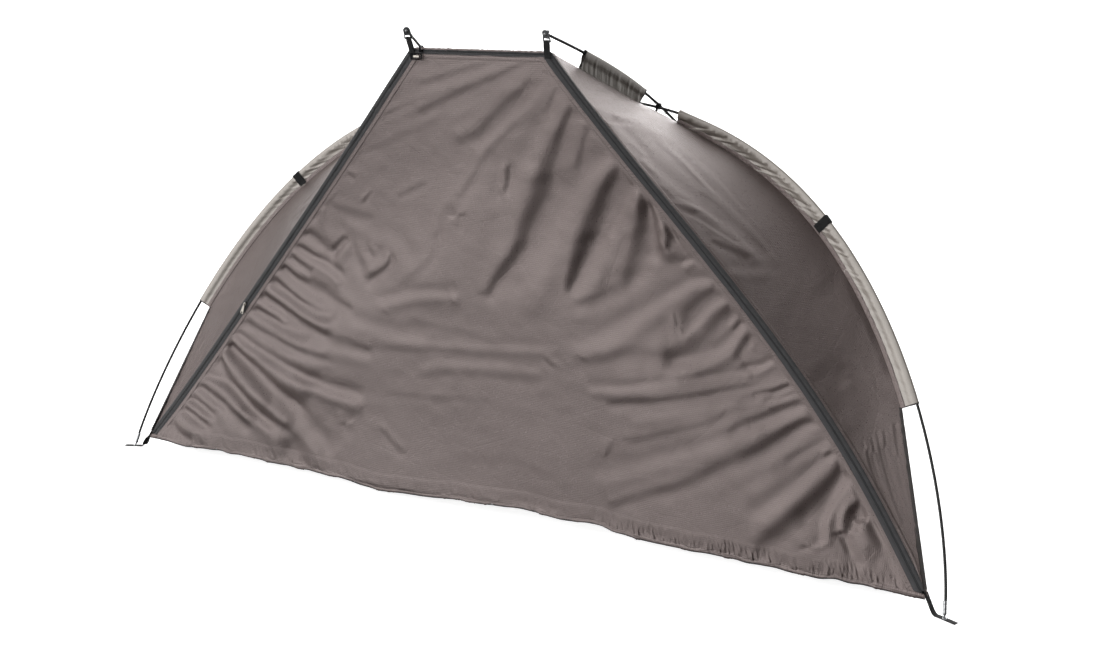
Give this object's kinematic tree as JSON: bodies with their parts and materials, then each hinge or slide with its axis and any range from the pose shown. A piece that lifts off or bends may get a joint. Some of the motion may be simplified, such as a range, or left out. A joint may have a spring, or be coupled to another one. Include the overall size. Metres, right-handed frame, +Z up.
{
  "type": "beach tent",
  "caption": "Low beach shelter with a bent hoop pole, rear poles crossing over it, a sewn canopy and groundsheet, and a zipped trapezoid front panel that folds down.",
  "frame": {"origin": "on the ground, on the centre plane, 0.60 m behind the front hem, on the underside of the groundsheet", "axes": "+X to the right as seen from the front, -Y out of the front, +Z up; the tent is symmetric about the plane X = 0"},
  "size_m": [2.4598, 1.2416, 1.2538],
  "materials": {
    "canopy": "taupe coated polyester taffeta, soft sheen",
    "sleeve": "warm grey polyester, puckered along its stitching",
    "groundsheet": "dark woven polyethylene sheet",
    "zip_tape": "charcoal woven zip tape and binding",
    "webbing": "black polypropylene webbing",
    "pole": "black pultruded fibreglass rod",
    "steel": "plated steel pole ends and zip sliders",
    "plastic": "dark grey moulded plastic"
  },
  "bodies": {
    "shelter": {"groundsheet": "groundsheet", "front_hem": "zip_tape", "canopy_zip_tape_left": "zip_tape", "canopy_zip_tape_right": "zip_tape", "canopy_zip_tape_top": "zip_tape", "zip_slider_left": "steel", "zip_slider_top": "steel", "side_panel_left": "canopy", "side_panel_right": "canopy", "roof_panel": "canopy", "rear_panel": "canopy", "rear_side_panel_left": "canopy", "rear_side_panel_right": "canopy", "hoop_pole": "pole", "rear_pole_left": "pole", "rear_pole_right": "pole", "hoop_foot_left": "steel", "hoop_foot_right": "steel", "rear_foot_left": "steel", "rear_foot_right": "steel", "rear_pole_pin_left": "steel", "rear_pole_pin_right": "steel", "corner_plate_left": "plastic", "corner_plate_right": "plastic", "top_webbing_left": "webbing", "top_webbing_right": "webbing", "hoop_sleeve_left": "sleeve", "hoop_sleeve_right": "sleeve", "ridge_sleeve_left": "sleeve", "ridge_sleeve_right": "sleeve", "rear_sleeve_left": "sleeve", "rear_sleeve_right": "sleeve", "sleeve_tab_left": "webbing", "sleeve_tab_right": "webbing", "crossing_tie_left": "webbing", "crossing_tie_right": "webbing", "front_strap_left": "webbing", "front_strap_right": "webbing", "rear_strap_left": "webbing", "rear_strap_right": "webbing"},
    "door": {"front_panel": "canopy", "front_panel_zip_tape_left": "zip_tape", "front_panel_zip_tape_right": "zip_tape", "front_panel_zip_tape_top": "zip_tape"}
  },
  "joints": [
    {"name": "front_panel_fold", "type": "hinge", "parent": "shelter", "child": "door", "pos_m": [0, -0.6, 0.035], "axis": [1, 0, 0], "range_deg": [0, 92]}
  ]
}
